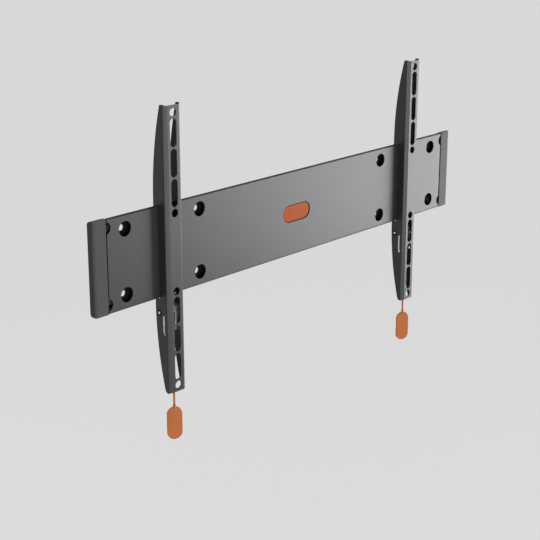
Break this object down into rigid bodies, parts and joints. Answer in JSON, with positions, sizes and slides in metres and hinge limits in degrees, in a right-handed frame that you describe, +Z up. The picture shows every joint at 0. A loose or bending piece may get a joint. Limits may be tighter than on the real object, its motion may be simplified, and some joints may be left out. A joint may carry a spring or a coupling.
{
  "type": "fixed television wall bracket",
  "caption": "Flat wall bracket: a long folded wall plate carries upright slotted arms that hook on, slide along it and lock with sprung latches on orange pull cords.",
  "frame": {"origin": "centre of the wall plate's screw pattern, on the wall plane", "axes": "+X along the wall plate to the right seen from the front, +Y into the wall, +Z up"},
  "size_m": [0.814, 0.0285, 0.5007],
  "materials": {
    "powder_coat": "satin anthracite powder coat on steel sheet",
    "cap_plastic": "fine matt moulded plastic",
    "orange_plastic": "matt orange moulded plastic",
    "orange_cord": "braided orange cord",
    "zinc_steel": "bright zinc plating",
    "black_plastic": "matt black moulded plastic"
  },
  "bodies": {
    "plate": {"wall_plate": "powder_coat", "centre_badge": "orange_plastic", "end_cap_left": "cap_plastic", "end_cap_right": "cap_plastic"},
    "left_arm": {"arm_left": "powder_coat", "latch_pin_left": "zinc_steel", "pin_bushes_left": "black_plastic", "latch_spring_left": "zinc_steel"},
    "left_latch": {"latch_left": "zinc_steel", "pull_cord_left": "orange_cord", "cord_ferrule_left": "zinc_steel", "pull_tag_left": "orange_plastic"},
    "right_arm": {"arm_right": "powder_coat", "latch_pin_right": "zinc_steel", "pin_bushes_right": "black_plastic", "latch_spring_right": "zinc_steel"},
    "right_latch": {"latch_right": "zinc_steel", "pull_cord_right": "orange_cord", "cord_ferrule_right": "zinc_steel", "pull_tag_right": "orange_plastic"}
  },
  "joints": [
    {"name": "left_arm_slide", "type": "slide", "parent": "plate", "child": "left_arm", "axis": [1, 0, 0], "range_m": [-0.086, 0.252]},
    {"name": "left_latch_pull", "type": "slide", "parent": "left_arm", "child": "left_latch", "axis": [0, 0, -1], "range_m": [0, 0.004], "stiffness_N_per_m": 600, "springref_m": -0.004, "deforming": ["latch_spring_left"]},
    {"name": "right_arm_slide", "type": "slide", "parent": "plate", "child": "right_arm", "axis": [1, 0, 0], "range_m": [-0.252, 0.086]},
    {"name": "right_latch_pull", "type": "slide", "parent": "right_arm", "child": "right_latch", "axis": [0, 0, -1], "range_m": [0, 0.004], "stiffness_N_per_m": 600, "springref_m": -0.004, "deforming": ["latch_spring_right"]}
  ]
}
